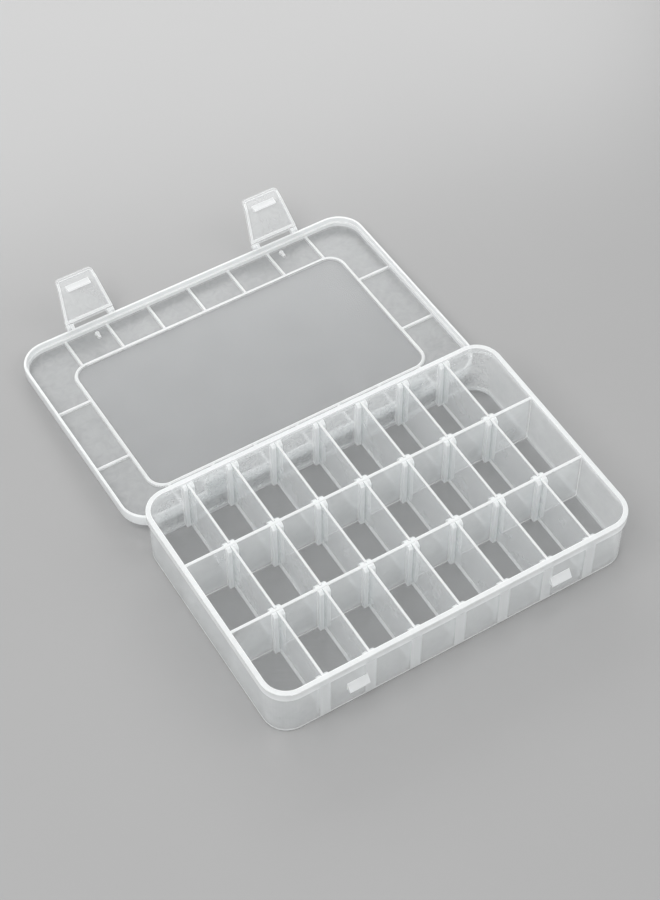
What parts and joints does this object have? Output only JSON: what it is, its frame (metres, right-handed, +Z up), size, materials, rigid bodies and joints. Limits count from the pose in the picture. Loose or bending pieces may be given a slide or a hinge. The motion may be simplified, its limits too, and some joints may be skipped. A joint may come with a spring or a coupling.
{
  "type": "bobbin box",
  "caption": "Clear plastic compartment box with a hinged latching lid, open flat behind a tray of lift-out dividers between fixed partitions.",
  "frame": {"origin": "centre of the tray's flat underside, on the surface the box stands on", "axes": "+X along the box to the right seen from the latch side, +Y from the front wall to the hinge, +Z up out of the tray"},
  "size_m": [0.1952, 0.2759, 0.032],
  "materials": {
    "tray_plastic": "translucent natural polypropylene, softly frosted, glossy",
    "divider_plastic": "translucent natural polypropylene, softly frosted",
    "lid_plastic": "clear polypropylene, polished in the middle, softly frosted at the border",
    "latch_plastic": "translucent natural polypropylene, glossy"
  },
  "bodies": {
    "tray": {"tray": "tray_plastic"},
    "lid": {"lid": "lid_plastic"},
    "latch_left": {"latch_left": "latch_plastic"},
    "latch_right": {"latch_right": "latch_plastic"},
    "divider_front_1": {"divider_front_1": "divider_plastic"},
    "divider_front_2": {"divider_front_2": "divider_plastic"},
    "divider_front_3": {"divider_front_3": "divider_plastic"},
    "divider_front_4": {"divider_front_4": "divider_plastic"},
    "divider_front_5": {"divider_front_5": "divider_plastic"},
    "divider_front_6": {"divider_front_6": "divider_plastic"},
    "divider_front_7": {"divider_front_7": "divider_plastic"},
    "divider_middle_1": {"divider_middle_1": "divider_plastic"},
    "divider_middle_2": {"divider_middle_2": "divider_plastic"},
    "divider_middle_3": {"divider_middle_3": "divider_plastic"},
    "divider_middle_4": {"divider_middle_4": "divider_plastic"},
    "divider_middle_5": {"divider_middle_5": "divider_plastic"},
    "divider_middle_6": {"divider_middle_6": "divider_plastic"},
    "divider_middle_7": {"divider_middle_7": "divider_plastic"},
    "divider_back_1": {"divider_back_1": "divider_plastic"},
    "divider_back_2": {"divider_back_2": "divider_plastic"},
    "divider_back_3": {"divider_back_3": "divider_plastic"},
    "divider_back_4": {"divider_back_4": "divider_plastic"},
    "divider_back_5": {"divider_back_5": "divider_plastic"},
    "divider_back_6": {"divider_back_6": "divider_plastic"},
    "divider_back_7": {"divider_back_7": "divider_plastic"}
  },
  "joints": [
    {"name": "lid_hinge", "type": "hinge", "parent": "tray", "child": "lid", "pos_m": [0, 0.0644, 0.021], "axis": [-1, 0, 0], "range_deg": [-182.6, 0]},
    {"name": "latch_left_hinge", "type": "hinge", "parent": "lid", "child": "latch_left", "pos_m": [-0.054, 0.19476, 0.00636], "axis": [-1, 0, 0], "range_deg": [-34, 0]},
    {"name": "latch_right_hinge", "type": "hinge", "parent": "lid", "child": "latch_right", "pos_m": [0.054, 0.19476, 0.00636], "axis": [-1, 0, 0], "range_deg": [-34, 0]},
    {"name": "divider_front_1_lift", "type": "slide", "parent": "tray", "child": "divider_front_1", "axis": [0, 0, 1], "range_m": [0, 0.035]},
    {"name": "divider_front_2_lift", "type": "slide", "parent": "tray", "child": "divider_front_2", "axis": [0, 0, 1], "range_m": [0, 0.035]},
    {"name": "divider_front_3_lift", "type": "slide", "parent": "tray", "child": "divider_front_3", "axis": [0, 0, 1], "range_m": [0, 0.035]},
    {"name": "divider_front_4_lift", "type": "slide", "parent": "tray", "child": "divider_front_4", "axis": [0, 0, 1], "range_m": [0, 0.035]},
    {"name": "divider_front_5_lift", "type": "slide", "parent": "tray", "child": "divider_front_5", "axis": [0, 0, 1], "range_m": [0, 0.035]},
    {"name": "divider_front_6_lift", "type": "slide", "parent": "tray", "child": "divider_front_6", "axis": [0, 0, 1], "range_m": [0, 0.035]},
    {"name": "divider_front_7_lift", "type": "slide", "parent": "tray", "child": "divider_front_7", "axis": [0, 0, 1], "range_m": [0, 0.035]},
    {"name": "divider_middle_1_lift", "type": "slide", "parent": "tray", "child": "divider_middle_1", "axis": [0, 0, 1], "range_m": [0, 0.035]},
    {"name": "divider_middle_2_lift", "type": "slide", "parent": "tray", "child": "divider_middle_2", "axis": [0, 0, 1], "range_m": [0, 0.035]},
    {"name": "divider_middle_3_lift", "type": "slide", "parent": "tray", "child": "divider_middle_3", "axis": [0, 0, 1], "range_m": [0, 0.035]},
    {"name": "divider_middle_4_lift", "type": "slide", "parent": "tray", "child": "divider_middle_4", "axis": [0, 0, 1], "range_m": [0, 0.035]},
    {"name": "divider_middle_5_lift", "type": "slide", "parent": "tray", "child": "divider_middle_5", "axis": [0, 0, 1], "range_m": [0, 0.035]},
    {"name": "divider_middle_6_lift", "type": "slide", "parent": "tray", "child": "divider_middle_6", "axis": [0, 0, 1], "range_m": [0, 0.035]},
    {"name": "divider_middle_7_lift", "type": "slide", "parent": "tray", "child": "divider_middle_7", "axis": [0, 0, 1], "range_m": [0, 0.035]},
    {"name": "divider_back_1_lift", "type": "slide", "parent": "tray", "child": "divider_back_1", "axis": [0, 0, 1], "range_m": [0, 0.035]},
    {"name": "divider_back_2_lift", "type": "slide", "parent": "tray", "child": "divider_back_2", "axis": [0, 0, 1], "range_m": [0, 0.035]},
    {"name": "divider_back_3_lift", "type": "slide", "parent": "tray", "child": "divider_back_3", "axis": [0, 0, 1], "range_m": [0, 0.035]},
    {"name": "divider_back_4_lift", "type": "slide", "parent": "tray", "child": "divider_back_4", "axis": [0, 0, 1], "range_m": [0, 0.035]},
    {"name": "divider_back_5_lift", "type": "slide", "parent": "tray", "child": "divider_back_5", "axis": [0, 0, 1], "range_m": [0, 0.035]},
    {"name": "divider_back_6_lift", "type": "slide", "parent": "tray", "child": "divider_back_6", "axis": [0, 0, 1], "range_m": [0, 0.035]},
    {"name": "divider_back_7_lift", "type": "slide", "parent": "tray", "child": "divider_back_7", "axis": [0, 0, 1], "range_m": [0, 0.035]}
  ]
}
